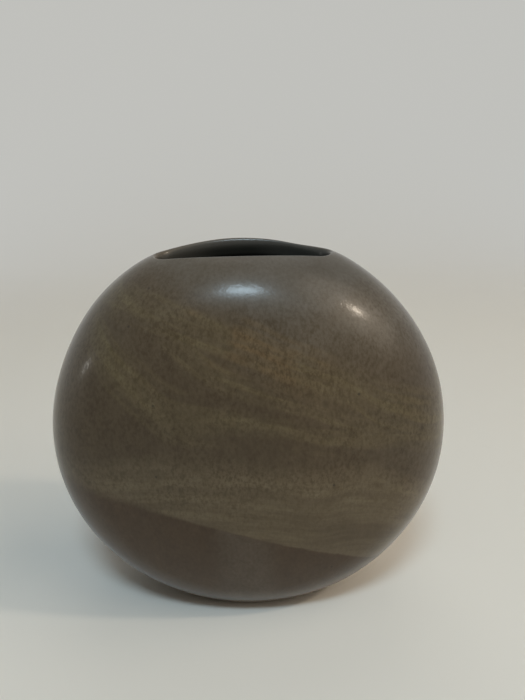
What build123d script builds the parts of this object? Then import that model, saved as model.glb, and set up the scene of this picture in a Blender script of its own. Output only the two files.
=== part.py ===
"""A pillow vase: two shallow thrown bowls luted rim to rim and stood on edge.

Millimetres, +Z up, +X across the width, the front face towards -Y. The origin is on the table,
under the middle of the disc. The disc turns about a level axis through its middle, along Y.
"""
import os
from math import atan2, degrees

from build123d import *

os.makedirs("parts", exist_ok=True)

# The disc, whose section is an oval with full faces and round edges
disc_radius = 110.0
half_depth = 56.0
wall = 5.5
edge_round_share = 0.82

# The oval mouth, cut straight down through the top of the disc
mouth_width = 88.0
mouth_depth = 39.5
mouth_end_round_share = 0.6
lip_width = 8.0
lip_thickness = 9.0
lip_round_share = 0.15
lip_underside_round_share = 0.33

# The foot, a slab that closes the flat cut at the bottom of the disc
foot_cut = 8.0
foot_thickness = 7.0
foot_ring_width = 7.0
foot_end_round_share = 0.8
foot_recess = 2.0
foot_recess_slope = 40.0

# The coils of soft clay pressed along the inside of the seam
coil_width = 16.0
coil_thickness = 3.0

# One overrun for every cut
overrun = 5.0

centre_height = disc_radius - foot_cut
disc_axis = Axis((0, 0, centre_height), (0, 1, 0))
disc_plane = Plane.XY.offset(centre_height)
foot_seat = Plane.XY.offset(foot_thickness)
lip_round = lip_thickness * lip_round_share
lip_underside_round = lip_thickness * lip_underside_round_share
coil_round = (coil_width**2 / 4 + coil_thickness**2) / (2 * coil_thickness)
coil_centre = disc_radius - wall - coil_thickness + coil_round


def quarter_oval(half_length, half_width, end_share, margin):
    """Two arcs, one running smoothly into the other, from an oval's end to its long side.

    The round of the end is a share of the half width. The margin moves the arcs out along their
    normals, so that ovals with the same sizes stay the same distance apart all round.
    """
    end_round = half_width * end_share
    end_centre = half_length - end_round
    side_round = (end_centre**2 + half_width**2 - end_round**2) / (2 * (half_width - end_round))
    turn = degrees(atan2(end_centre, side_round - half_width))
    end_arc = JernArc((half_length + margin, 0), (0, 1), end_round + margin, 90 - turn)
    JernArc(end_arc @ 1, end_arc % 1, side_round + margin, turn)


def oval(half_length, half_width, end_share, margin, mode=Mode.ADD):
    """A whole oval in the open sketch."""
    with BuildLine() as outline:
        quarter_oval(half_length, half_width, end_share, margin)
        mirror(about=Plane.XZ)
        mirror(about=Plane.YZ)
    make_face(outline.edges(), mode=mode)


def mouth_oval(margin, mode=Mode.ADD):
    """The mouth's outline, widened all round by a margin, in the open sketch."""
    oval(mouth_width / 2, mouth_depth / 2, mouth_end_round_share, margin, mode)


def pillow_section(margin, mode=Mode.ADD):
    """The section of a whole pillow, from its axis to its edge, in the open sketch."""
    with BuildLine() as outline:
        quarter_oval(disc_radius, half_depth, edge_round_share, margin)
        mirror(about=Plane.XZ)
        Line((0, half_depth + margin), (0, -half_depth - margin))
    make_face(outline.edges(), mode=mode)


def wall_section(thickness):
    """The section of a wall of one thickness, in the open sketch."""
    pillow_section(0)
    pillow_section(-thickness, mode=Mode.SUBTRACT)


def cut_mouth_seat():
    """Cuts the seat of the lip down through the top of the open part."""
    with BuildSketch(disc_plane) as seat:
        mouth_oval(lip_width)
    extrude(seat.sketch, amount=disc_radius + overrun, mode=Mode.SUBTRACT)


# Two bowls, each half of the disc, that meet at the seam
for bowl_name, kept_side in (("front_bowl", Keep.TOP), ("back_bowl", Keep.BOTTOM)):
    with BuildPart() as bowl:
        with BuildSketch(disc_plane):
            wall_section(wall)
            split(bisect_by=Plane.XZ, keep=kept_side)
        revolve(axis=disc_axis)
        cut_mouth_seat()
        split(bisect_by=foot_seat, keep=Keep.TOP)
    bowl.part.label = bowl_name
    export_step(bowl.part, f"parts/{bowl_name}.step")

# Two coils that back the seam inside, from the lip down to the foot
for coil_name, kept_side in (("left_seam_coil", Keep.BOTTOM), ("right_seam_coil", Keep.TOP)):
    with BuildPart() as coil:
        with BuildSketch(disc_plane):
            pillow_section(-wall)
            with Locations((coil_centre, 0)):
                Circle(coil_round, mode=Mode.INTERSECT)
        revolve(axis=disc_axis)
        cut_mouth_seat()
        split(bisect_by=foot_seat, keep=Keep.TOP)
        split(bisect_by=Plane.YZ, keep=kept_side)
    coil.part.label = coil_name
    export_step(coil.part, f"parts/{coil_name}.step")

# The lip, an oval ring that fills the seat, reaches down inside and is rounded along its saddle
with BuildPart() as mouth_lip:
    with BuildSketch(disc_plane):
        wall_section(lip_thickness)
    revolve(axis=disc_axis)
    with BuildSketch(disc_plane):
        mouth_oval(lip_width)
        mouth_oval(0, mode=Mode.SUBTRACT)
    extrude(amount=disc_radius + overrun, mode=Mode.INTERSECT)
    ring_faces = mouth_lip.faces().filter_by(lambda face: len(face.inner_wires()) > 0)
    under_face, top_face = ring_faces.sort_by(lambda face: face.bounding_box().max.Z)
    under_edges = under_face.inner_wires()[0].edges()
    lip_edges = top_face.inner_wires()[0].edges()
    fillet(lip_edges, lip_round)
    fillet(under_edges, lip_underside_round)
mouth_lip.part.label = "mouth_lip"
export_step(mouth_lip.part, "parts/mouth_lip.step")

# The foot, a slice of the disc with a hollow underside, so that it stands on an oval ring
with BuildPart() as foot:
    with BuildSketch(disc_plane):
        pillow_section(0)
    revolve(axis=disc_axis)
    split(bisect_by=foot_seat, keep=Keep.BOTTOM)
    split(bisect_by=Plane.XY, keep=Keep.TOP)
    underside = foot.faces().filter_by(GeomType.PLANE).sort_by(Axis.Z)[0].bounding_box().size
    with BuildSketch(Plane.XY):
        oval(underside.X / 2, underside.Y / 2, foot_end_round_share, -foot_ring_width)
    extrude(amount=foot_recess, taper=foot_recess_slope, mode=Mode.SUBTRACT)
foot.part.label = "foot"
export_step(foot.part, "parts/foot.step")
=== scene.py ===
"""A pillow vase in streaked stoneware glaze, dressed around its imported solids.

Metres, +Z up, the front face towards -Y, the origin on the table under the middle of the disc.
The disc's section is an oval of two kinds of arc: a wide one over each face and a tight one round
the edge, which run smoothly into each other. Every outer surface below is that section turned about
the level axis through the disc's middle, so the pieces meet without a step.
"""

import bpy
import numpy as np
from bpy.props import FloatProperty, FloatVectorProperty, IntProperty, PointerProperty
from mathutils import Matrix, Vector


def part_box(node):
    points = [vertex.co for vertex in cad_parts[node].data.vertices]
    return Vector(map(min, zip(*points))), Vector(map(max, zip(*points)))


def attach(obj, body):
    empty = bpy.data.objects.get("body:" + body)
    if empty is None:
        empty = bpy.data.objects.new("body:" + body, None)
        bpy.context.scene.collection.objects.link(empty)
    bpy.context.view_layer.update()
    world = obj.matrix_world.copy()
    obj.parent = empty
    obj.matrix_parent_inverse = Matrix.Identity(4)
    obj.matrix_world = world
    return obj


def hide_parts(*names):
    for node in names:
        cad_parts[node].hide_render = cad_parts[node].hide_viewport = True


bl_info = {
    "name": "Pillow Vase",
    "version": (1, 0, 0),
    "blender": (4, 5, 0),
    "location": "3D View > Sidebar > Pillow Vase",
    "description": "Builds a glazed pillow vase piece by piece around its packed solids",
    "category": "Object",
}

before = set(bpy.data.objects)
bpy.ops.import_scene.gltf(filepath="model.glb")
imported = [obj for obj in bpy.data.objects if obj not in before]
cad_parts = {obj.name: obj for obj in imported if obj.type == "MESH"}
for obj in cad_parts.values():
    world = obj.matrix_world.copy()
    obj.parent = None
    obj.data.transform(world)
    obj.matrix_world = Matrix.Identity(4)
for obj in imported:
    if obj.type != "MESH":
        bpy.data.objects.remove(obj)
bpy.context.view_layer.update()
front_low, front_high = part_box("front_bowl")
foot_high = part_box("foot")[1]

BODY = "root"
MM = 0.001
UP = np.array((0.0, 0.0, 1.0))
PHOTO_LONG_SIDE = 700
SENSOR_MM = 36.0


# Settings


def length(name, description, default, low=0.0001):
    """A length in metres for the sidebar."""
    return FloatProperty(
        name=name, description=description, default=default, min=low, precision=4, unit="LENGTH"
    )


def share(name, description, default):
    """A share from nought to one for the sidebar."""
    return FloatProperty(
        name=name, description=description, default=default, min=0.0, max=1.0, subtype="FACTOR"
    )


def colour(name, description, default):
    """A linear colour for the sidebar."""
    return FloatVectorProperty(
        name=name, description=description, default=default, size=3, min=0.0, max=1.0, subtype="COLOR"
    )


def power(name, description, default, unit="NONE"):
    """A lamp's power or a wide light's strength for the sidebar."""
    return FloatProperty(name=name, description=description, default=default, min=0.0, unit=unit)


def tilt(name, description, degrees):
    """An angle for the sidebar, given in degrees and held in radians."""
    return FloatProperty(
        name=name, description=description, default=np.radians(degrees), subtype="ANGLE"
    )


class VaseSizes(bpy.types.PropertyGroup):
    """Sizes of the clay pieces."""

    disc_radius: length("Disc radius", "Radius of the disc at its seam", round(front_high.x, 4))
    half_depth: length("Half depth", "From the seam to the middle of a face", round(-front_low.y, 4))
    middle_height: length("Middle height", "Height of the disc's axis above the table", 0.102)
    wall: length("Wall", "Thickness of the thrown wall", 0.0055)
    edge_share: share("Edge round", "Radius of the round edge as a share of the half depth", 0.82)
    mouth_width: length("Mouth width", "Width of the oval hole", 0.088)
    mouth_depth: length("Mouth depth", "Depth of the oval hole from front to back", 0.0395)
    mouth_end_share: share("Mouth ends", "Radius of the mouth's ends as a share of its half depth", 0.6)
    lip_width: length("Lip width", "Width of the lip's ring around the hole", 0.008)
    lip_thickness: length("Lip thickness", "How far the lip reaches down inside", 0.009)
    lip_round: length("Lip round", "How far out from the hole the lip's upper edge is rounded", 0.0024)
    lip_roll: length("Lip roll", "How far down the hole the lip's upper edge is rounded", 0.006)
    lip_under_round: length("Lip underside round", "How far the lip's lower edge is rounded over", 0.002)
    foot_thickness: length("Foot thickness", "Height of the foot's slab", round(foot_high.z, 4))
    foot_ring: length("Foot ring", "Width of the ring that the vase stands on", 0.007)
    foot_recess: length("Foot recess", "Depth of the hollow inside the foot's ring", 0.002)
    coil_width: length("Coil width", "Width of the coil along the inside of the seam", 0.016)
    coil_thickness: length("Coil thickness", "How far the coil stands off the wall", 0.003)
    unevenness: length("Unevenness", "How far the thrown surface strays from true", 0.0003, 0.0)


class GlazeColours(bpy.types.PropertyGroup):
    """Colours of the glazes and of the bare clay, and how glossy they are."""

    brown: colour("Brown", "Purplish brown under-glaze", (0.0632, 0.0438, 0.0242))
    olive: colour("Olive", "Olive glaze poured over the brown", (0.099, 0.0765, 0.0405))
    khaki: colour("Khaki", "Paler coat between the pours and the dip line", (0.120, 0.0932, 0.0562))
    amber: colour("Amber", "Warmer brown where the pour is thick", (0.106, 0.0690, 0.0350))
    # The grey is also used as painted sheen: the lamps' gloss high up and on the right
    grey: colour("Grey", "Greyed bloom by the lip", (0.087, 0.0765, 0.0635))
    dipped: colour("Dipped", "Darker brown below the dip line", (0.0535, 0.0320, 0.0158))
    stipple: colour("Stipple", "Darker brown grains in the glaze", (0.038, 0.024, 0.010))
    shade: colour("Shade", "Tint of the darkest mottling, times the glaze", (0.62, 0.56, 0.45))
    speck: colour("Speck", "Dark iron specks", (0.022, 0.016, 0.011))
    mouth: colour("Mouth", "Greyed glaze just inside the mouth", (0.056, 0.054, 0.047))
    liner: colour("Liner", "Dark glaze inside", (0.016, 0.016, 0.013))
    clay: colour("Clay", "Bare fired stoneware", (0.150, 0.108, 0.074))
    roughness: share("Roughness", "Roughness of the outer glaze", 0.18)
    liner_roughness: share("Liner roughness", "Roughness of the glaze inside", 0.16)


class StudioSettings(bpy.types.PropertyGroup):
    """Floor, lamps and camera."""

    floor_colour: colour("Floor", "Colour of the pale floor", (0.82, 0.795, 0.735))
    backdrop: colour("Backdrop", "Colour of the backdrop", (0.93, 0.95, 0.97))
    surround: colour("Surround", "Pale colour seen far off and in the gloss", (0.53, 0.53, 0.505))
    key_watts: power("Key", "Power of the cool lamp overhead", 9.4, "POWER")
    side_watts: power("Side", "Power of the warm lamp at the right", 7.0, "POWER")
    fill: power("Fill", "Strength of the wide soft light from the right", 0.29)
    sky: power("Sky", "Strength of the even light all round", 0.036)
    camera_place: FloatVectorProperty(
        name="Camera",
        description="Where the camera stands",
        default=(0.0089, -0.3275, 0.2746),
        unit="LENGTH",
    )
    pitch: tilt("Pitch", "How far the camera looks down", 20.934)
    roll: tilt("Roll", "How far the camera leans", 1.48)
    focal_pixels: IntProperty(
        name="Focal length",
        description="Focal length in pixels of the photograph",
        default=640,
        min=1,
        subtype="PIXEL",
    )


# Shapes


class Oval:
    """An oval of four arcs: a tight round at each end and a wide one along each side.

    With half length L, half width W and end radius e, the side radius S that runs smoothly into the
    ends is ((L-e)^2 + W^2 - e^2) / (2 (W-e)). The arcs meet where the normal has turned by
    atan((L-e) / (S-W)) from the short axis. A margin moves the whole oval along its normals.
    """

    def __init__(self, half_length, half_width, end_share):
        self.half_width = half_width
        self.end = half_width * end_share
        self.centre = half_length - self.end
        self.side = (self.centre**2 + half_width**2 - self.end**2) / (2 * (half_width - self.end))
        self.turn = np.arctan2(self.centre, self.side - half_width)

    def run(self, steps):
        """Normal angles at even steps of length, from 0 in the middle of a side to a quarter turn."""
        side_length = self.side * self.turn
        whole = side_length + self.end * (np.pi / 2 - self.turn)
        s = np.asarray(steps) * whole
        return np.where(s < side_length, s / self.side, self.turn + (s - side_length) / self.end)

    def point(self, angle, margin=0.0):
        """Distances along the long and the short axis, for a normal angle of 0 to a half turn."""
        fold = np.minimum(angle, np.pi - angle)
        flat = fold < self.turn
        along = np.where(
            flat,
            (self.side + margin) * np.sin(fold),
            self.centre + (self.end + margin) * np.sin(fold),
        )
        across = np.where(
            flat,
            self.half_width - self.side + (self.side + margin) * np.cos(fold),
            (self.end + margin) * np.cos(fold),
        )
        return along, np.where(angle > np.pi / 2, -across, across)


def unit(v):
    """Vectors of length one."""
    return v / np.maximum(np.linalg.norm(v, axis=-1, keepdims=True), 1e-12)


# Slow waves of the thrown wall: radians per metre along x, y and z, a start, a share of the unevenness
WAVES = (
    ((41.0, 23.0, 17.0), 0.4, 0.42),
    ((-26.0, 37.0, 52.0), 2.1, 0.30),
    ((63.0, -31.0, 38.0), 4.0, 0.18),
    ((18.0, 71.0, -57.0), 5.3, 0.10),
)
# Where the hand-built disc stands a little proud or low: a place, a reach and a rise, in mm
SWELLS = (
    ((-66.0, 0.0, 190.0), 22.0, 1.2),
    ((-48.0, 0.0, 200.0), 10.0, 0.7),
    ((62.0, 0.0, 193.0), 16.0, 0.8),
    ((48.0, 0.0, 200.0), 9.0, 0.9),
    ((-7.0, 19.0, 205.0), 13.0, 0.8),
    ((29.0, 17.0, 202.0), 8.0, -0.9),
    ((-101.0, 0.0, 145.0), 20.0, -0.6),
    ((-86.0, 0.0, 36.0), 22.0, 0.6),
)


class Pillow:
    """The vase's forms, worked out from its sizes."""

    def __init__(self, sizes):
        self.s = sizes
        self.section = Oval(sizes.disc_radius, sizes.half_depth, sizes.edge_share)
        self.mouth = Oval(sizes.mouth_width / 2, sizes.mouth_depth / 2, sizes.mouth_end_share)
        self.middle = np.array((0.0, 0.0, sizes.middle_height))

    def surface(self, around, angle, margin=0.0):
        """The section turned about Y, at a normal angle of 0 at the front pole to a half turn behind.

        around is measured from straight up towards +X: x = r sin(around), z = middle + r cos(around).
        Returns the points and the outward normals.
        """
        r, d = self.section.point(angle, margin)
        sine, cosine = np.sin(around), np.cos(around)
        points = np.stack((r * sine, -d, self.s.middle_height + r * cosine), -1)
        lean = np.sin(angle)
        normals = np.stack((lean * sine, -np.cos(angle) * np.ones_like(sine), lean * cosine), -1)
        return points, normals

    def reach(self, y, margin=0.0):
        """Radius of the disc at y from the seam, within its round edge: centre + sqrt(edge^2 - y^2)."""
        edge = self.section.end + margin
        return self.section.centre + np.sqrt(np.maximum(edge**2 - y**2, 0.0))

    def height(self, x, y, margin=0.0):
        """Height of the disc's top over a point of the table: middle + sqrt(reach(y)^2 - x^2)."""
        return self.s.middle_height + np.sqrt(np.maximum(self.reach(y, margin) ** 2 - x**2, 0.0))

    def normal(self, points):
        """Outward normal of the round edge through points: away from the ring of the edge's centres."""
        rel = points - self.middle
        radial = unit(rel * (1.0, 0.0, 1.0)) * self.section.centre
        return unit(rel - radial)

    def uneven(self, points, normals):
        """Moves points along their normals by slow waves and low swells, and tilts the normals to match.

        A wave's height is a sin(k . p + f), with the slope a k cos(k . p + f). A swell's height is
        b exp(-|p - c|^2 / 2 w^2), with the slope (c - p) / w^2 times its height.
        """
        waves, starts, shares = (np.array(column) for column in zip(*WAVES))
        sizes = shares * self.s.unevenness
        phase = points @ waves.T + starts
        rise = (sizes * np.sin(phase)).sum(-1, keepdims=True)
        slope = (sizes * np.cos(phase)) @ waves
        for centre, width, high in SWELLS:
            away = np.array(centre) * MM - points
            swell = high * MM * np.exp(-(away**2).sum(-1, keepdims=True) / (2 * (width * MM) ** 2))
            rise = rise + swell
            slope = slope + swell * away / (width * MM) ** 2
        flat_slope = slope - normals * (slope * normals).sum(-1, keepdims=True)
        return points + normals * rise, unit(normals - flat_slope)

    def seat(self, count):
        """Points (x, y) of the lip's seat, once round from the right end by the back, and their normals.

        A quarter of the oval is worked out, mirrored to the left, and the half mirrored to the front.
        """
        quarter = self.mouth.run(np.linspace(1.0, 0.0, count + 1))[:-1]
        along, across = self.mouth.point(quarter, self.s.lip_width)

        def once_round(part, behind):
            """A quarter's rows and the one behind, mirrored to go once round."""
            half = np.concatenate((part, [behind], part[1:][::-1] * (-1.0, 1.0)))
            left = part[0] * (-1.0, 0.0)
            return np.concatenate((half, [left], half[1:][::-1] * (1.0, -1.0)))

        back = self.mouth.half_width + self.s.lip_width
        points = once_round(np.stack((along, across), -1), (0.0, back))
        normals = once_round(np.stack((np.sin(quarter), np.cos(quarter)), -1), (0.0, 1.0))
        return points, normals


def grid_faces(rows, columns, closed_rows=False):
    """Quads of a grid whose columns run round and close; rows may close too. Whole index arrays."""
    i = np.arange(rows if closed_rows else rows - 1)[:, None]
    j = np.arange(columns)[None, :]
    up, on = (i + 1) % rows, (j + 1) % columns
    corners = (i * columns + j, i * columns + on, up * columns + on, up * columns + j)
    return np.stack([np.broadcast_to(c, (i.shape[0], columns)) for c in corners], -1).reshape(-1, 4)


def inner_volume(points, quads, fans):
    """Volume that the faces close in: a sixth of the sum of a . (b x c) over their triangles."""
    triangles = np.concatenate((quads[:, (0, 1, 2)], quads[:, (0, 2, 3)], fans))
    a, b, c = points[triangles].transpose(1, 0, 2)
    return (a * np.cross(b, c)).sum() / 6


def put_mesh(name, points, quads, fans, materials, marks, normals):
    """A piece from whole arrays: quads, triangles in fans, a material number and a normal per corner."""
    mesh = bpy.data.meshes.new(name)
    corners = np.concatenate((quads.ravel(), fans.ravel())).astype(np.int32)
    sizes = np.concatenate((np.full(len(quads), 4), np.full(len(fans), 3))).astype(np.int32)
    starts = np.concatenate(((0,), np.cumsum(sizes)[:-1])).astype(np.int32)
    mesh.vertices.add(len(points))
    mesh.vertices.foreach_set("co", np.ascontiguousarray(points, np.float32).ravel())
    mesh.loops.add(len(corners))
    mesh.loops.foreach_set("vertex_index", corners)
    mesh.polygons.add(len(sizes))
    mesh.polygons.foreach_set("loop_start", starts)
    for material in materials:
        mesh.materials.append(material)
    mesh.polygons.foreach_set("material_index", np.ascontiguousarray(marks, np.int32))
    mesh.polygons.foreach_set("use_smooth", np.ones(len(sizes), bool))
    mesh.update(calc_edges=True)
    if mesh.validate():
        raise RuntimeError(f"{name} has faces that are not sound")
    if inner_volume(points, quads, fans) <= 0:
        raise RuntimeError(f"{name} is inside out")
    mesh.normals_split_custom_set(np.ascontiguousarray(normals, np.float32))
    piece = bpy.data.objects.new(name, mesh)
    bpy.context.scene.collection.objects.link(piece)
    return piece


def rows_piece(name, rows, poles, materials):
    """A closed piece of rings that lie one inside the next.

    rows is a list of (points, normals before, normals after, material of the band after it), each
    array once round the piece. Two normals per row let a ring be a sharp edge. poles are the two end
    points with their normals; without them the last ring joins the first.
    """
    count, columns = len(rows), len(rows[0][0])
    points = np.concatenate([row[0] for row in rows])
    before = np.concatenate([row[1] for row in rows])
    after = np.concatenate([row[2] for row in rows])
    band_marks = [row[3] for row in rows]
    quads = grid_faces(count, columns, closed_rows=poles is None)
    bands = count if poles is None else count - 1
    marks = np.repeat(band_marks[:bands], columns)
    normals = np.concatenate((after[quads[:, :2]], before[quads[:, 2:]]), 1).reshape(-1, 3)
    fans = np.zeros((0, 3), int)
    if poles is not None:
        first, last = len(points), len(points) + 1
        j = np.arange(columns)
        on = (j + 1) % columns
        end = (count - 1) * columns
        first_fan = np.stack((np.full(columns, first), on, j), -1)
        last_fan = np.stack((np.full(columns, last), end + j, end + on), -1)
        fans = np.concatenate((first_fan, last_fan))
        first_pole, last_pole = (np.broadcast_to(normal, (columns, 3)) for _, normal in poles)
        first_normals = np.stack((first_pole, before[on], before[j]), 1)
        last_normals = np.stack((last_pole, after[end + j], after[end + on]), 1)
        fan_normals = np.concatenate((first_normals, last_normals)).reshape(-1, 3)
        normals = np.concatenate((normals, fan_normals))
        points = np.concatenate((points, [point for point, _ in poles]))
        marks = np.concatenate((marks, np.repeat((band_marks[0], band_marks[-1]), columns)))
    return put_mesh(name, points, quads, fans, materials, marks, normals)


def turned(rows):
    """The same rings, each run round the other way."""
    return [[array[::-1] for array in row[:3]] + [row[3]] for row in rows]


def dress(piece, node):
    """Lets a piece stand for its solid and ride with the vase."""
    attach(piece, BODY)
    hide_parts(node)


# The materials of a piece's bands, by number
OUTSIDE, INSIDE, JOINT = 0, 1, 2
# Steps along a quarter of the lip's seat, down one side of the seam and along the foot
SEAT_STEPS, SIDE_STEPS, FOOT_STEPS = 40, 90, 60
# Rings of a bowl from its outer pole to the rim and from the rim to its inner pole
OUTER_ROWS, INNER_ROWS = 84, 30
# Places along the section at which its normal angle is looked up
SECTION_SAMPLES = 400


def rim(pillow, side, margin):
    """Where a bowl's wall ends, once round: under the lip, down the seam, over the foot and up again.

    side is -1 for the front bowl and 1 for the back one. Returns how far round each point is and its
    normal angle in the section, on the wall moved in by the margin.
    """
    s = pillow.s
    edge = pillow.section.end + margin
    seat, _ = pillow.seat(SEAT_STEPS)
    half = len(seat) // 2
    top = np.concatenate((seat[half:], seat[:1]))
    top = np.stack((top[:, 0], side * np.abs(top[:, 1])), -1)
    top_z = pillow.height(top[:, 0], top[:, 1], margin) - s.middle_height
    top_around = np.arctan2(top[:, 0], top_z)
    top_angle = np.arccos(np.clip(-top[:, 1] / edge, -1.0, 1.0))
    drop = s.middle_height - s.foot_thickness
    foot_end = np.sqrt((s.disc_radius + margin) ** 2 - drop**2)
    foot_x = foot_end * np.cos(np.linspace(0.0, np.pi, FOOT_STEPS + 1))
    foot_r = np.hypot(foot_x, drop)
    foot_y = np.sqrt(np.maximum(edge**2 - (foot_r - pillow.section.centre) ** 2, 0.0))
    foot_around = np.arctan2(foot_x, -drop) % (2 * np.pi)
    foot_angle = np.arccos(np.clip(-side * foot_y / edge, -1.0, 1.0))
    right = np.linspace(top_around[-1], foot_around[0], SIDE_STEPS + 1)[1:-1]
    left = np.linspace(foot_around[-1], 2 * np.pi + top_around[0], SIDE_STEPS + 1)[1:-1]
    level = np.full(SIDE_STEPS - 1, np.pi / 2)
    around = np.concatenate((top_around, right, foot_around, left))
    angle = np.concatenate((top_angle, level, foot_angle, level))
    return around, angle


def bowl(pillow, name, side, materials):
    """A bowl: rings from the outer pole to the rim, across the rim, and back to the inner pole."""
    s = pillow.s
    outer_around, outer_angle = rim(pillow, side, 0.0)
    inner_around, inner_angle = rim(pillow, side, -s.wall)
    even = np.linspace(0.0, 1.0, SECTION_SAMPLES)
    even_angles = pillow.section.run(even)

    def ring(around, end_angle, part, margin):
        """The ring at a part of the way along the section from the pole to the rim."""
        end = np.minimum(end_angle, np.pi - end_angle)
        fold = pillow.section.run(np.interp(end, even_angles, even) * part) if part < 1 else end
        return pillow.surface(around, fold if side < 0 else np.pi - fold, margin)

    rows = []
    for part in np.linspace(0.0, 1.0, OUTER_ROWS + 1)[1:]:
        points, normals = pillow.uneven(*ring(outer_around, outer_angle, part, 0.0))
        rows.append([points, normals, normals, OUTSIDE])
    inner_parts = np.linspace(1.0, 0.0, INNER_ROWS + 1)[:-1]
    inner = [ring(inner_around, inner_angle, part, -s.wall) for part in inner_parts]
    edge = rows[-1][0]
    along = np.roll(edge, -1, 0) - np.roll(edge, 1, 0)
    face = unit(np.cross(along, unit(inner[0][0] - edge))) * (-side)
    rows[-1][2], rows[-1][3] = face, JOINT
    rows += [[points, -normals, -normals, INSIDE] for points, normals in inner]
    rows[OUTER_ROWS][1] = face
    if side > 0:
        rows = turned(rows)
    pole = np.array(0.0), np.array(0.0 if side < 0 else np.pi)
    outer_pole = pillow.uneven(*pillow.surface(*pole))
    inner_pole = pillow.surface(*pole, -s.wall)
    return rows_piece(name, rows, (outer_pole, (inner_pole[0], -inner_pole[1])), materials)


# Rows of the lip's section: on its top, over its upper edge, round its lower edge and on its underside
LIP_TOP_ROWS, LIP_ROLL_ROWS, LIP_ROUND_ROWS, LIP_UNDER_ROWS = 8, 22, 10, 6
# Rows down the mouth's wall, as parts of the way
LIP_WALL_PARTS = (0.33, 0.67)
# How strongly each conic arc is drawn to its corner: 1 gives a parabola, less a flatter ellipse
LIP_ROLL_PULL, LIP_ROUND_PULL = 1.0, 0.84
# The lip's share of the unevenness: start - rate times the part of the section gone through, from 1 to 0
LIP_FADE_START, LIP_FADE_RATE = 1.6, 2.6


def lip(pillow, name, materials):
    """The lip: a section carried round the seat.

    At each point the section runs in along the disc's outer surface, over a conic arc whose corner
    is the mouth's edge, down the mouth's wall, round a second arc and out along the inner surface.
    Its attribute, inward, goes from 0 at the mouth's edge to 1 down the hole.
    """
    s = pillow.s
    seat, lean = pillow.seat(SEAT_STEPS)

    def place(inset, margin):
        """The section's points at an inset from the seat, on the disc's surface moved by a margin."""
        xy = seat - lean * inset
        return np.concatenate((xy, pillow.height(xy[:, 0], xy[:, 1], margin)[:, None]), 1)

    def arc(start, corner, end, steps, pull):
        """A conic arc: ((1-t)^2 start + 2 pull t (1-t) corner + t^2 end) over the sum of the weights."""
        t = np.linspace(0.0, 1.0, steps)[:, None, None]
        a, b, c = (1 - t) ** 2, 2 * pull * t * (1 - t), t**2
        return list((a * start + b * corner + c * end) / (a + b + c))

    deep = -s.lip_thickness
    roll_inset, round_inset = s.lip_width - s.lip_round, s.lip_width - s.lip_under_round
    top_corner, low_corner = place(s.lip_width, 0.0), place(s.lip_width, deep)
    top_start, top_end = place(roll_inset, 0.0), top_corner - UP * s.lip_roll
    low_start, low_end = low_corner + UP * s.lip_under_round, place(round_inset, deep)
    sections = [place(inset, 0.0) for inset in np.linspace(0.0, roll_inset, LIP_TOP_ROWS + 1)[:-1]]
    sections += arc(top_start, top_corner, top_end, LIP_ROLL_ROWS, LIP_ROLL_PULL)
    sections += [top_end + (low_start - top_end) * part for part in LIP_WALL_PARTS]
    sections += arc(low_start, low_corner, low_end, LIP_ROUND_ROWS, LIP_ROUND_PULL)
    sections += [place(inset, deep) for inset in np.linspace(round_inset, 0.0, LIP_UNDER_ROWS + 1)[1:]]
    true = np.stack(sections)
    moved, leaned = pillow.uneven(true, pillow.normal(true))
    gone = np.linspace(0.0, 1.0, len(true))[:, None, None]
    points = true + (moved - true) * np.clip(LIP_FADE_START - LIP_FADE_RATE * gone, 0.0, 1.0)
    across = np.gradient(points, axis=0)
    along = np.roll(points, -1, 1) - np.roll(points, 1, 1)
    normals = unit(np.cross(along, across))
    normals[: LIP_TOP_ROWS - 1] = leaned[: LIP_TOP_ROWS - 1]
    rows = [[p, n, n, OUTSIDE] for p, n in zip(points, normals)]
    for row in rows[-LIP_UNDER_ROWS - 1 :]:
        row[3] = INSIDE
    seat_side = np.concatenate((lean, np.zeros((len(lean), 1))), 1)
    rows[0][1] = seat_side
    rows[-1][2], rows[-1][3] = seat_side, JOINT
    piece = rows_piece(name, rows, None, materials)
    past_top = (np.arange(len(points)) >= LIP_TOP_ROWS)[:, None]
    drop = (top_corner[:, 2] - points[:, :, 2]) * past_top
    inward = np.clip(drop / (s.lip_roll + s.lip_under_round), 0.0, 1.0).astype(np.float32)
    piece.data.attributes.new("inward", "FLOAT", "POINT").data.foreach_set("value", inward.ravel())
    return piece


# Points round the foot, rings down its side, and places at which the inner edge of its ring is looked up
FOOT_COLUMNS, FOOT_SIDE_ROWS, SOLE_SAMPLES = 192, 10, 600
# Rings of the floor inside and of the hollow below, as parts of the way from the middle
FLOOR_PARTS, HOLLOW_PARTS = (0.25, 0.5, 0.8), (0.7, 0.35)
# Radius of the sole's ends as a share of its half width, and how far the hollow's side slopes in
SOLE_END_SHARE, HOLLOW_SLOPE = 0.8, 1.7 * MM
HALVINGS = 48


def level_ring(pillow, z, count):
    """The disc's outline at a height near its foot, at even polar angles, each radius by halving."""
    s = pillow.s
    turn = np.linspace(0.0, 2 * np.pi, count, endpoint=False)
    way = np.stack((np.cos(turn), np.sin(turn)), -1)
    low, high = np.zeros(count), np.full(count, s.disc_radius)
    for _ in range(HALVINGS):
        middle = (low + high) / 2
        x, y = (way * middle[:, None]).T
        limit = np.where(np.abs(y) < pillow.section.end, pillow.reach(y), 0.0)
        inside = np.hypot(x, s.middle_height - z) < limit
        low, high = np.where(inside, middle, low), np.where(inside, high, middle)
    return np.concatenate((way * low[:, None], np.full((count, 1), z)), 1)


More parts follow.
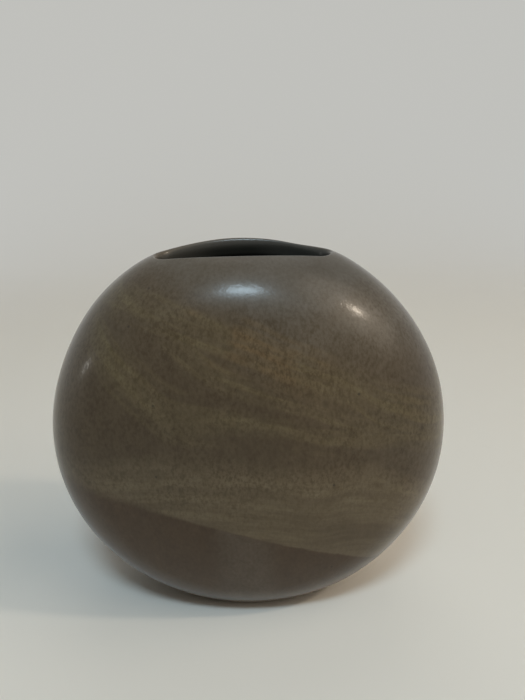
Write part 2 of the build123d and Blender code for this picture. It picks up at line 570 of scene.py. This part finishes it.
def foot(pillow, name, materials):
    """The foot: rings from the floor inside, down the disc's surface, over the ring and into the hollow.

    The inner edge of the ring is an oval round the sole's outline, moved in by the ring's width.
    """
    s = pillow.s

    def level(normal):
        """The same normal all round."""
        return np.broadcast_to(normal, (FOOT_COLUMNS, 3))

    floor = level_ring(pillow, s.foot_thickness, FOOT_COLUMNS)
    rows = [[floor * (part, part, 1.0), level(UP), level(UP), INSIDE] for part in FLOOR_PARTS]
    for z in np.linspace(s.foot_thickness, 0.0, FOOT_SIDE_ROWS):
        ring = level_ring(pillow, z, FOOT_COLUMNS)
        points, normals = pillow.uneven(ring, pillow.normal(ring))
        points[:, 2] = z
        rows.append([points, normals, normals, OUTSIDE])
    rows[len(FLOOR_PARTS)][1] = level(UP)
    rows[-1][2], rows[-1][3] = level(-UP), JOINT
    x, y, _ = rows[-1][0].T
    sole = Oval(x.max(), y.max(), SOLE_END_SHARE)
    turn = np.arctan2(y, x)
    angles = np.linspace(np.pi / 2, 0.0, SOLE_SAMPLES)
    along, across = sole.point(angles, -s.foot_ring)
    quarter_turn = np.arctan2(np.abs(np.sin(turn)), np.abs(np.cos(turn)))
    along, across = sole.point(np.interp(quarter_turn, np.arctan2(across, along), angles), -s.foot_ring)
    inner = (along * np.sign(np.cos(turn)), across * np.sign(np.sin(turn)), np.zeros(FOOT_COLUMNS))
    inner = np.stack(inner, -1)
    shrink = 1.0 - HOLLOW_SLOPE / np.linalg.norm(inner, axis=1, keepdims=True)
    hollow = inner * shrink + UP * s.foot_recess
    slope = unit(np.cross(hollow - inner, np.roll(inner, -1, 0) - np.roll(inner, 1, 0)))
    slope = slope * np.sign(-slope[:, 2:])
    rows.append([inner, level(-UP), slope, JOINT])
    rows.append([hollow, slope, level(-UP), JOINT])
    rows += [[hollow * (part, part, 1.0), level(-UP), level(-UP), JOINT] for part in HOLLOW_PARTS]
    poles = ((UP * s.foot_thickness, UP), (UP * s.foot_recess, -UP))
    return rows_piece(name, turned(rows), poles, materials)


# Steps across a coil's lens on each of its two arcs, and rings down the seam
COIL_STEPS, COIL_ROWS = 20, 61


def coil(pillow, name, side, materials):
    """A coil: a lens between the wall and a shallow arc, carried down the inside of the seam."""
    s = pillow.s
    inner_edge = pillow.section.end - s.wall
    bulge = ((s.coil_width / 2) ** 2 + s.coil_thickness**2) / (2 * s.coil_thickness)
    middle_r = s.disc_radius - s.wall - s.coil_thickness + bulge
    gap = middle_r - pillow.section.centre
    cross_r = (inner_edge**2 - bulge**2 + gap**2) / (2 * gap)
    tip = np.sqrt(inner_edge**2 - cross_r**2)
    y = tip * np.cos(np.linspace(0.0, np.pi, COIL_STEPS + 1))
    wall_r = pillow.section.centre + np.sqrt(inner_edge**2 - y**2)
    face_r = middle_r - np.sqrt(bulge**2 - y**2)
    ring_y = np.concatenate((y, y[1:-1][::-1]))
    ring_r = np.concatenate((wall_r, face_r[1:-1][::-1]))
    end_angle = np.arccos(np.clip(np.abs(ring_y) / (pillow.mouth.end + s.lip_width), 0.0, 1.0))
    end_along, _ = pillow.mouth.point(end_angle, s.lip_width)
    top = np.arcsin(end_along / ring_r)
    bottom = np.arccos((s.foot_thickness - s.middle_height) / ring_r)
    around = top + (bottom - top) * np.linspace(0.0, 1.0, COIL_ROWS)[:, None]
    x, z = side * ring_r * np.sin(around), s.middle_height + ring_r * np.cos(around)
    points = np.stack((x, np.broadcast_to(ring_y, x.shape), z), -1)
    across = np.roll(points, -1, 1) - np.roll(points, 1, 1)
    along = np.gradient(points, axis=0)
    normals = unit(np.cross(across, along)) * side
    rows = [[p, n, n, INSIDE] for p, n in zip(points, normals)]
    middles = points.mean(1)
    ends = [(middles[k], unit(middles[k] - middles[n])) for k, n in ((0, 1), (-1, -2))]
    return rows_piece(name, turned(rows) if side < 0 else rows, ends, materials)


# Finishes


class Wire:
    """A socket of a node tree. Sums on wires and numbers add Math nodes."""

    def __init__(self, tree, socket=None):
        self.tree = tree
        self.socket = socket

    def node(self, kind, settings=None, inputs=None, output=0):
        """Adds a node: its settings first, then its sockets' values or links. Gives one output or more."""
        made = self.tree.nodes.new(kind)
        for name, value in (settings or {}).items():
            if name == "points":
                curve = made.mapping.curves[0]
                while len(curve.points) < len(value):
                    curve.points.new(1.0, 1.0)
                for point, place in zip(curve.points, value):
                    point.location = place
                made.mapping.update()
            else:
                setattr(made, name, value)
        for key, value in (inputs or {}).items():
            if isinstance(value, Wire):
                self.tree.links.new(value.socket, made.inputs[key])
            else:
                made.inputs[key].default_value = value
        if isinstance(output, tuple):
            return [Wire(self.tree, made.outputs[name]) for name in output]
        return Wire(self.tree, made.outputs[output] if made.outputs else None)

    def math(self, operation, *values):
        """A Math node on wires and numbers."""
        return self.node("ShaderNodeMath", {"operation": operation}, dict(enumerate(values)))

    def __add__(self, other):
        return self.math("ADD", self, other)

    def __radd__(self, other):
        return self.math("ADD", other, self)

    def __sub__(self, other):
        return self.math("SUBTRACT", self, other)

    def __rsub__(self, other):
        return self.math("SUBTRACT", other, self)

    def __mul__(self, other):
        return self.math("MULTIPLY", self, other)

    def __rmul__(self, other):
        return self.math("MULTIPLY", other, self)

    def __truediv__(self, other):
        return self.math("DIVIDE", self, other)

    def __rtruediv__(self, other):
        return self.math("DIVIDE", other, self)

    def __abs__(self):
        return self.math("ABSOLUTE", self)

    def ramp(self, low, high, to_low=0.0, to_high=1.0):
        """A smooth step from one value to another as this wire goes from low to high."""
        return self.node(
            "ShaderNodeMapRange",
            {"interpolation_type": "SMOOTHSTEP"},
            {"Value": self, "From Min": low, "From Max": high, "To Min": to_low, "To Max": to_high},
        )

    def mix(self, under, over, blend="MIX"):
        """A colour between two others, by this wire."""
        return self.node(
            "ShaderNodeMix",
            {"data_type": "RGBA", "clamp_factor": True, "blend_type": blend},
            {"Factor": self, "A": under, "B": over},
            output=2,
        )


def rgba(tint):
    """A colour with full alpha."""
    return (*tint, 1.0)


def fresh(name):
    """A new material with an empty tree and a wire to start from."""
    material = bpy.data.materials.new(name)
    material.use_nodes = True
    material.node_tree.nodes.clear()
    return material, Wire(material.node_tree)


def in_mm(wire):
    """Object coordinates in millimetres."""
    place = wire.node("ShaderNodeTexCoord", output="Object")
    return wire.node("ShaderNodeVectorMath", {"operation": "SCALE"}, {0: place, "Scale": 1.0 / MM})


def noise(vector, size, detail=2.0, roughness=0.5):
    """Noise from 0 to 1 with features of about a size in the vector's units."""
    return vector.node(
        "ShaderNodeTexNoise",
        {},
        {"Vector": vector, "Scale": 1.0 / size, "Detail": detail, "Roughness": roughness},
    )


def bumps(height, strength, depth):
    """A skin of small bumps, from a height between 0 and 1 and a depth in metres."""
    return height.node("ShaderNodeBump", {}, {"Strength": strength, "Distance": depth, "Height": height})


def surface(wire, base, roughness, normal, **constants):
    """The shader and the output. What is the same all over is set on the shader's own sockets."""
    inputs = {"Base Color": base, "Roughness": roughness, "Normal": normal}
    inputs.update({name.replace("_", " "): value for name, value in constants.items()})
    shader = wire.node("ShaderNodeBsdfPrincipled", {}, inputs)
    wire.node("ShaderNodeOutputMaterial", {}, {"Surface": shader})


# Lines that the glaze ran along, as points (x, z) in mm
HIGH_POUR = (
    (-120, 206), (-67, 190), (-37, 181), (-9, 171), (5, 166), (19, 159), (36, 152), (50, 145),
    (66, 133), (82, 126), (120, 106),
)
MIDDLE_POUR = (
    (-120, 230), (-60, 194), (-44, 181), (-34, 171), (-21, 160), (-14, 155), (-2, 150), (31, 138),
    (56, 127), (77, 121), (120, 100),
)
LOW_POUR = (
    (-120, 208), (-85, 180), (-61, 156), (-46, 143), (-37, 136), (-26, 133), (0, 132), (16, 130),
    (31, 125), (61, 120), (82, 117), (120, 98),
)
BANK = (
    (-120, 100), (-80, 107), (-34, 113), (11, 109), (36, 104), (54, 104), (78, 96), (98, 82),
    (120, 66),
)
# The square in mm that these lines are drawn in, with x = 0 in its middle
LINE_SPAN = 240.0
# The dip line: its height in mm at the disc's middle, and its fall per mm to the right and to the back
DIP_HEIGHT, DIP_FALL_RIGHT, DIP_FALL_BACK = 50.2, 0.335, 0.3
# Middles along x, in mm, of the grey glaze and painted sheen by the lip, of the amber and of the pale
# place in the base
BLOOM_AND_SHEEN_X, AMBER_X, PALE_X = 18.0, 11.0, -3.0
# How the lower edge of the grey glaze and painted sheen by the lip rises with the square of the distance
# from its middle, per mm
BLOOM_AND_SHEEN_RISE = 0.0047
SPECK_SPACING = 11.0
# How strongly each mark covers what is under it
AMBER_COVER, PALE_COVER, STIPPLE_COVER, SPECK_COVER, MOUTH_COVER = 0.9, 0.32, 0.47, 0.65, 0.75
# Tone of the plain coat, which makes up for what the mottling darkens
PLAIN_TONE = 1.40


def poured_glaze(colours):
    """Brown glaze with olive pours over it, grey by the lip that is partly the glaze's own and partly
    painted sheen, and a dip line low down, with painted light and shade in its paleness and in the mouth.

    Lengths and places are in mm, on the vase. Each mark is a mask from 0 to 1 between colours.
    """
    material, wire = fresh("poured_glaze")
    place = in_mm(wire)
    x, y, z = wire.node("ShaderNodeSeparateXYZ", {}, {0: place}, output=("X", "Y", "Z"))
    slow = noise(place, 48.0, 2.0) - 0.5
    quick = noise(place, 11.0, 3.0, 0.6) - 0.5

    def above(line):
        """Height over a line that runs through a few points (x, z)."""
        curve = wire.node(
            "ShaderNodeFloatCurve",
            {"points": [(px / LINE_SPAN + 0.5, pz / LINE_SPAN) for px, pz in line]},
            {"Value": x / LINE_SPAN + 0.5},
        )
        return z - curve * LINE_SPAN

    def drawn_out(off, run, depth, across, detail=4.0):
        """Noise about nought, drawn out along a line of the glaze's flow."""
        parts = {"X": x / run, "Y": y / depth, "Z": off / across}
        return noise(wire.node("ShaderNodeCombineXYZ", {}, parts), 1.0, detail, 0.6) - 0.5

    def pour(line, half_width, strand, fade=6.0, depth=0.7):
        """One pour: full near its line, gone beyond half a width, torn and stranded along the flow."""
        off = above(line)
        torn = drawn_out(off, 72.0, 40.0, 5.5) * 24.0 + drawn_out(off, 34.0, 20.0, 2.4) * 9.0
        band = (abs(off) - half_width + torn + slow * 6.0 + quick * 5.0).ramp(fade, -fade)
        strands = drawn_out(off, 80.0, 30.0, strand, 2.0).ramp(-0.17, 0.15)
        return band * (strands * depth + 1.0 - depth)

    def corner(x_from, x_to, z_from, z_to):
        """A soft region, from nought to one as x goes from one place to another and z does too."""
        return x.ramp(x_from, x_to) * z.ramp(z_from, z_to)

    # The pours, and the paler coat below their bank
    high = pour(HIGH_POUR, x.ramp(-60.0, -10.0, 5.0, 8.5) + x.ramp(45.0, 75.0, 0.0, 3.0), 4.2, 8.0)
    middle = pour(MIDDLE_POUR, x.ramp(-15.0, 15.0, 5.0, 2.5), 4.0) * x.ramp(-46.0, -30.0)
    low = pour(LOW_POUR, x.ramp(-50.0, 10.0, 12.0, 3.5), 9.0, depth=0.5) * x.ramp(-84.0, -64.0)
    off = above(BANK)
    bank = drawn_out(off, 60.0, 30.0, 7.0)
    lower = (off + bank * 22.0 + slow * 8.0 + quick * 6.0).ramp(6.0, -10.0)
    lower = lower * (bank.ramp(-0.15, 0.15) * 0.5 + 0.4)
    lower = lower * x.ramp(-95.0, -70.0, 0.6, 1.1) * (1.0 - corner(20.0, 75.0, 85.0, 50.0) * 0.5)

    # The grey by the lip, partly the glaze's own and partly a painted sheen of the lamps' gloss, and the
    # dip line, which is softer at the left
    aside = x - BLOOM_AND_SHEEN_X
    bloom_and_sheen = (z - aside * aside * BLOOM_AND_SHEEN_RISE + slow * 16.0 + quick * 8.0).ramp(174.0, 194.0)
    blur = x.ramp(-90.0, -20.0, 4.5, 0.9)
    over_dip = z + x * DIP_FALL_RIGHT + y * DIP_FALL_BACK - DIP_HEIGHT
    below = ((over_dip + quick * 2.0 + slow * 3.0) / blur).ramp(1.0, -1.0)
    from_pale = abs(x - PALE_X)

    # Dark grains in drifts, a little longer than wide, and a few round specks
    stretch = {0: place, 1: (1.0, 1.0, 0.65)}
    upright = wire.node("ShaderNodeVectorMath", {"operation": "MULTIPLY"}, stretch)
    fine = noise(upright, 1.7, 2.0, 0.65)
    drift = noise(place, 24.0, 2.0).ramp(0.25, 0.65)
    where = (z + slow * 60.0).ramp(60.0, 125.0) * (1.0 - bloom_and_sheen * 0.8) * drift
    stipple = fine.ramp(0.56, 0.34) * (where * 0.88 + 0.12)
    spacing = {"Vector": place, "Scale": 1.0 / SPECK_SPACING}
    cell, pick = wire.node("ShaderNodeTexVoronoi", {}, spacing, output=("Distance", "Color"))
    odds = wire.node("ShaderNodeSeparateColor", {}, {0: pick}, output="Red")
    specks = cell.ramp(0.085, 0.04) * odds.ramp(0.80, 0.84)

    # Colours, from the under-glaze up
    # Grey: the glaze's own by the lip, and painted sheen high up, at the upper right and down the right
    # side
    grey_and_sheen = bloom_and_sheen * 0.6 + z.ramp(125.0, 185.0) * 0.15 + corner(20.0, 110.0, 60.0, 120.0) * 0.3
    grey_and_sheen = grey_and_sheen + corner(-15.0, 25.0, 150.0, 175.0) * 0.35
    base = grey_and_sheen.mix(rgba(colours.brown), rgba(colours.grey))
    base = lower.mix(base, rgba(colours.khaki))
    poured = wire.math("MAXIMUM", wire.math("MAXIMUM", high, middle), low)
    base = (poured * (1.0 - bloom_and_sheen * 0.8)).mix(base, rgba(colours.olive))
    thick = (noise(place, 26.0, 3.0, 0.6) - abs(x - AMBER_X) * 0.006).ramp(0.33, 0.51)
    amber = thick * high * (1.0 - bloom_and_sheen * 0.6)
    base = (amber * AMBER_COVER).mix(base, rgba(colours.amber))
    base = below.mix(base, rgba(colours.dipped))
    base = (below * from_pale.ramp(22.0, 6.0) * PALE_COVER).mix(base, rgba(colours.grey))
    base = (stipple * STIPPLE_COVER).mix(base, rgba(colours.stipple))
    base = (specks * SPECK_COVER).mix(base, rgba(colours.speck))

    # Mottling, stronger high up and in the base, weaker under the grey glaze and painted sheen by the lip
    strong = z.ramp(60.0, 115.0) * 0.62 + 0.43 + below * 0.45 - bloom_and_sheen * 0.4
    grain = (noise(upright, 8.0, 5.0, 0.8) - 0.5 + (fine - 0.5) * 0.6) * strong
    base = (0.5 - grain * 1.8).mix(base, rgba(colours.shade), "MULTIPLY")

    # Tone: random paler and darker patches, lighter high up as painted light from the lamps overhead, and
    # paler towards the right
    tone_and_painted_light = slow * 0.25 + z.ramp(110.0, 180.0) * 0.16 + x * 0.0002 + PLAIN_TONE
    # Darker at the top by the lip, a painted shade against the lamps' glow there, and paler in the pale
    # place in the base
    tone_and_painted_light = tone_and_painted_light - corner(-25.0, 35.0, 174.0, 198.0) * 0.36 + below * from_pale.ramp(20.0, 7.0) * 0.16
    # Paler on the right, above the middle
    tone_and_painted_light = tone_and_painted_light + corner(5.0, 40.0, 72.0, 108.0) * corner(95.0, 60.0, 195.0, 170.0) * 0.24
    # At the right edge painted light low down and painted shade high up
    tone_and_painted_light = tone_and_painted_light - x.ramp(45.0, 85.0) * z.ramp(85.0, 125.0, -0.09, 0.15)
    base = wire.node("ShaderNodeVectorMath", {"operation": "SCALE"}, {0: base, "Scale": tone_and_painted_light})

    # Over the lip's edge it greys, then darkens down the hole into the dark glaze inside, a painted shade
    # of the hollow over the real dark glaze; towards the mouth's ends it stays paler, a painted light
    # where the lamps reach those inner walls
    inward = wire.node("ShaderNodeAttribute", {"attribute_name": "inward"}, output="Fac")
    base = (inward.ramp(0.0, 0.3) * MOUTH_COVER).mix(base, rgba(colours.mouth))
    # Painted light on the mouth's ends, whose inner walls the lamps reach
    paler_liner = x.ramp(2.0, 24.0) * 0.62 + x.ramp(-12.0, -34.0) * 0.5
    base = (inward.ramp(0.1, 0.85) * (1.0 - paler_liner)).mix(base, rgba(colours.liner))

    # A fairly sharp gloss under a wide satin one
    roughness = stipple * 0.08 + quick * 0.06 + colours.roughness - inward * 0.1
    skin = fine * 0.5 + noise(place, 2.6, 2.0) + noise(place, 0.9, 1.0) * 0.5
    normal = bumps(skin, 0.5, 0.12 * MM)
    surface(wire, base, roughness, normal, IOR=1.26, Coat_Weight=0.55, Coat_Roughness=0.36, Coat_IOR=1.4)
    return material


def inside_glaze(colours):
    """Dark glaze inside, glossier than the outside, a little paler in patches where the glaze lies
    thinner.
    """
    material, wire = fresh("inside_glaze")
    place = in_mm(wire)
    paler_liner = (noise(place, 24.0, 3.0) + noise(place, 5.0, 2.0) * 0.4).ramp(0.55, 0.95)
    base = (paler_liner * 0.5).mix(rgba(colours.liner), rgba(colours.brown))
    roughness = paler_liner * 0.08 + colours.liner_roughness
    surface(wire, base, roughness, bumps(noise(place, 4.0, 2.0), 0.3, 0.1 * MM), IOR=1.43)
    return material


def bare_clay(colours):
    """Fired clay without glaze: matt, gritty, with fine iron specks and a darker flash."""
    material, wire = fresh("bare_clay")
    place = in_mm(wire)
    grit = noise(place, 0.7, 3.0, 0.65)
    flash = noise(place, 22.0, 2.0)
    darker = [part * 0.72 for part in colours.clay]
    base = (flash.ramp(0.3, 0.7) * 0.5).mix(rgba(colours.clay), rgba(darker))
    base = (grit.ramp(0.62, 0.72) * 0.6).mix(base, rgba(colours.speck))
    surface(wire, base, grit * 0.15 + 0.75, bumps(grit, 0.6, 0.2 * MM))
    return material


def finish(maker):
    """A finish by the function that makes it, made once."""
    return bpy.data.materials.get(maker.__name__) or maker(bpy.context.scene.vase_colours)


def shell_finishes():
    """Outside, inside and joint faces of a piece of the wall."""
    return [finish(poured_glaze), finish(inside_glaze), finish(bare_clay)]


# Studio

# The sheet in metres: its near end, where it bends up, the bend's radius, its top and its half width
SHEET_NEAR, SHEET_BACK, SHEET_BEND, SHEET_TOP, SHEET_HALF = -3.0, 0.75, 0.35, 1.2, 3.0
BEND_STEPS = 25
# Height at which the floor's colour has become the backdrop's
BACKDROP_HEIGHT = 0.5
# How far from the vase the surround begins to show, and where it shows alone
SURROUND_FROM, SURROUND_TO = 0.45, 1.2
SKY_TINT = (1.0, 0.99, 0.96)
LAMP_AIM = Vector((0.0, 0.0, 0.13))


def seen(wire):
    """One for rays from the camera, in gloss and through glass, nought for those that light things."""
    rays = ("Is Camera Ray", "Is Glossy Ray", "Is Transmission Ray")
    camera, gloss, glass = wire.node("ShaderNodeLightPath", output=rays)
    return wire.math("MAXIMUM", camera, wire.math("MAXIMUM", gloss, glass))


def studio_sweep(settings):
    """Floor and backdrop in one sheet: a profile of floor, quarter round and wall, carried along X.

    Far from the vase the camera sees the pale colour of the surround there instead of the lit sheet.
    """
    bend = np.linspace(0.0, np.pi / 2, BEND_STEPS)
    back = SHEET_BACK + SHEET_BEND
    y = np.concatenate(((SHEET_NEAR,), SHEET_BACK + SHEET_BEND * np.sin(bend), (back,)))
    z = np.concatenate(((0.0,), SHEET_BEND - SHEET_BEND * np.cos(bend), (SHEET_TOP,)))
    sides = (-SHEET_HALF, SHEET_HALF)
    points = np.concatenate([np.stack((np.full_like(y, x), y, z), -1) for x in sides])
    i = np.arange(len(y) - 1)
    quads = np.stack((i, i + len(y), i + len(y) + 1, i + 1), -1)
    mesh = bpy.data.meshes.new("studio_sweep")
    mesh.from_pydata(points.tolist(), [], quads.tolist())
    mesh.polygons.foreach_set("use_smooth", np.ones(len(quads), bool))
    sheet = bpy.data.objects.new("studio_sweep", mesh)
    bpy.context.scene.collection.objects.link(sheet)
    material, wire = fresh("studio_sheet")
    place = wire.node("ShaderNodeTexCoord", output="Object")
    height = wire.node("ShaderNodeSeparateXYZ", {}, {0: place}, output="Z")
    base = height.ramp(0.0, BACKDROP_HEIGHT).mix(rgba(settings.floor_colour), rgba(settings.backdrop))
    far = wire.node("ShaderNodeVectorMath", {"operation": "LENGTH"}, {0: place}, output="Value")
    lit = wire.node("ShaderNodeBsdfDiffuse", {}, {"Color": base})
    pale = wire.node("ShaderNodeEmission", {}, {"Color": rgba(settings.surround)})
    factor = far.ramp(SURROUND_FROM, SURROUND_TO) * seen(wire)
    both = wire.node("ShaderNodeMixShader", {}, {0: factor, 1: lit, 2: pale})
    wire.node("ShaderNodeOutputMaterial", {}, {"Surface": both})
    mesh.materials.append(material)


def toward(high, turn):
    """A direction by its height above the floor and its turn from the front to the right, in degrees."""
    up, turn = np.radians(high), np.radians(turn)
    return Vector((np.sin(turn) * np.cos(up), -np.cos(turn) * np.cos(up), np.sin(up)))


def put_light(name, kind, way, tint, energy):
    """A light that shines in from a direction."""
    data = bpy.data.lights.new(name, kind)
    data.energy = energy
    data.color = tint
    light = bpy.data.objects.new(name, data)
    light.rotation_euler = way.to_track_quat("Z", "Y").to_euler()
    bpy.context.scene.collection.objects.link(light)
    return light


def studio_light(settings):
    """A dim even world, wide washes that fill the shadows, and small lamps that show in the gloss.

    The camera and the gloss see the pale surround instead of the world's own light.
    """
    world = bpy.data.worlds.new("studio_world")
    world.use_nodes = True
    world.node_tree.nodes.clear()
    wire = Wire(world.node_tree)
    even = wire.node("ShaderNodeBackground", {}, {"Color": rgba(SKY_TINT), "Strength": settings.sky})
    pale = wire.node("ShaderNodeBackground", {}, {"Color": rgba(settings.surround)})
    both = wire.node("ShaderNodeMixShader", {}, {0: seen(wire), 1: even, 2: pale})
    wire.node("ShaderNodeOutputWorld", {}, {"Surface": both})
    bpy.context.scene.world = world
    # Name, height, turn and spread in degrees, tint, and strength from a setting
    washes = (
        ("wide_fill", 60.0, 45.0, 60.0, (1.0, 0.88, 0.74), settings.fill),
        ("left_wash", 52.0, -62.0, 60.0, (1.0, 0.93, 0.82), settings.fill * 0.3),
        ("back_wash", 62.0, 175.0, 40.0, (1.0, 0.98, 0.95), settings.fill * 0.87),
        ("side_wash", 40.0, 74.5, 50.0, (1.0, 0.86, 0.70), settings.side_watts * 0.102),
    )
    for name, high, turn, spread, tint, strength in washes:
        light = put_light(name, "SUN", toward(high, turn), tint, strength)
        light.data.angle = np.radians(spread)
    # Name, height and turn in degrees, distance and two widths in metres, tint, and watts from a setting
    lamps = (
        ("key_lamp", 58.7, -2.4, 1.6, (0.45, 0.24), (0.64, 0.85, 1.0), settings.key_watts),
        ("sheen_lamp", 58.0, -13.0, 1.6, (1.1, 0.62), (0.76, 0.91, 1.0), settings.key_watts * 0.10),
        ("side_lamp", 37.8, 74.5, 1.4, (0.09, 0.09), (1.0, 0.86, 0.70), settings.side_watts * 0.48),
        ("left_lamp", 7.3, -86.7, 1.2, (0.045, 0.045), (1.0, 0.97, 0.9), settings.side_watts * 0.034),
    )
    for name, high, turn, distance, size, tint, watts in lamps:
        way = toward(high, turn)
        light = put_light(name, "AREA", way, tint, watts)
        light.data.shape = "ELLIPSE"
        light.data.size, light.data.size_y = size
        light.location = LAMP_AIM + way * distance


def studio_camera(settings):
    """The camera at the photograph's place, pitch and roll."""
    data = bpy.data.cameras.new("camera")
    data.sensor_fit = "AUTO"
    data.sensor_width = SENSOR_MM
    data.lens = settings.focal_pixels / PHOTO_LONG_SIDE * SENSOR_MM
    data.clip_start = 0.01
    camera = bpy.data.objects.new("camera", data)
    look = Matrix.Rotation(np.pi / 2 - settings.pitch, 4, "X") @ Matrix.Rotation(-settings.roll, 4, "Z")
    camera.matrix_world = Matrix.Translation(Vector(settings.camera_place)) @ look
    bpy.context.scene.collection.objects.link(camera)
    bpy.context.scene.camera = camera


# Operators


class VASE_OT_bowls(bpy.types.Operator):
    """Builds the two bowls that meet at the seam"""

    bl_idname = "vase.bowls"
    bl_label = "Bowls"

    def execute(self, context):
        pillow = Pillow(context.scene.vase_sizes)
        for node, side in (("front_bowl", -1), ("back_bowl", 1)):
            dress(bowl(pillow, "glazed_" + node, side, shell_finishes()), node)
        return {"FINISHED"}


class VASE_OT_lip(bpy.types.Operator):
    """Builds the rounded lip of the oval mouth"""

    bl_idname = "vase.lip"
    bl_label = "Lip"

    def execute(self, context):
        pillow = Pillow(context.scene.vase_sizes)
        dress(lip(pillow, "glazed_mouth_lip", shell_finishes()), "mouth_lip")
        return {"FINISHED"}


class VASE_OT_coils(bpy.types.Operator):
    """Builds the two coils along the inside of the seam"""

    bl_idname = "vase.coils"
    bl_label = "Seam coils"

    def execute(self, context):
        pillow = Pillow(context.scene.vase_sizes)
        for node, side in (("left_seam_coil", -1), ("right_seam_coil", 1)):
            dress(coil(pillow, "glazed_" + node, side, shell_finishes()), node)
        return {"FINISHED"}


class VASE_OT_foot(bpy.types.Operator):
    """Builds the foot with its hollow underside"""

    bl_idname = "vase.foot"
    bl_label = "Foot"

    def execute(self, context):
        pillow = Pillow(context.scene.vase_sizes)
        finishes = [finish(bare_clay), finish(inside_glaze), finish(bare_clay)]
        dress(foot(pillow, "bare_foot", finishes), "foot")
        return {"FINISHED"}


class VASE_OT_studio(bpy.types.Operator):
    """Builds the floor and backdrop, the lamps and the camera"""

    bl_idname = "vase.studio"
    bl_label = "Studio"

    def execute(self, context):
        settings = context.scene.vase_studio
        studio_sweep(settings)
        studio_light(settings)
        studio_camera(settings)
        context.scene.view_settings.view_transform = "Standard"
        return {"FINISHED"}


class VASE_PT_panel(bpy.types.Panel):
    """Lists the pieces and their settings"""

    bl_idname = "VASE_PT_panel"
    bl_label = "Pillow Vase"
    bl_space_type = "VIEW_3D"
    bl_region_type = "UI"
    bl_category = "Pillow Vase"

    def draw(self, context):
        layout = self.layout
        for operator in OPERATORS:
            layout.operator(operator.bl_idname)
        for group in (context.scene.vase_sizes, context.scene.vase_colours, context.scene.vase_studio):
            box = layout.box()
            for name in group.bl_rna.properties.keys():
                if name not in ("rna_type", "name"):
                    box.prop(group, name)


GROUPS = (("vase_sizes", VaseSizes), ("vase_colours", GlazeColours), ("vase_studio", StudioSettings))
OPERATORS = (VASE_OT_bowls, VASE_OT_lip, VASE_OT_coils, VASE_OT_foot, VASE_OT_studio)


def register():
    """Registers the settings, the operators and the panel."""
    for name, group in GROUPS:
        bpy.utils.register_class(group)
        setattr(bpy.types.Scene, name, PointerProperty(type=group))
    for cls in (*OPERATORS, VASE_PT_panel):
        bpy.utils.register_class(cls)


def unregister():
    """Takes them all back."""
    for cls in (VASE_PT_panel, *reversed(OPERATORS)):
        bpy.utils.unregister_class(cls)
    for name, group in reversed(GROUPS):
        delattr(bpy.types.Scene, name)
        bpy.utils.unregister_class(group)


def main():
    """Builds the pieces and the studio in order."""
    register()
    bpy.ops.vase.bowls()
    bpy.ops.vase.lip()
    bpy.ops.vase.coils()
    bpy.ops.vase.foot()
    bpy.ops.vase.studio()


if __name__ == "__main__":
    main()
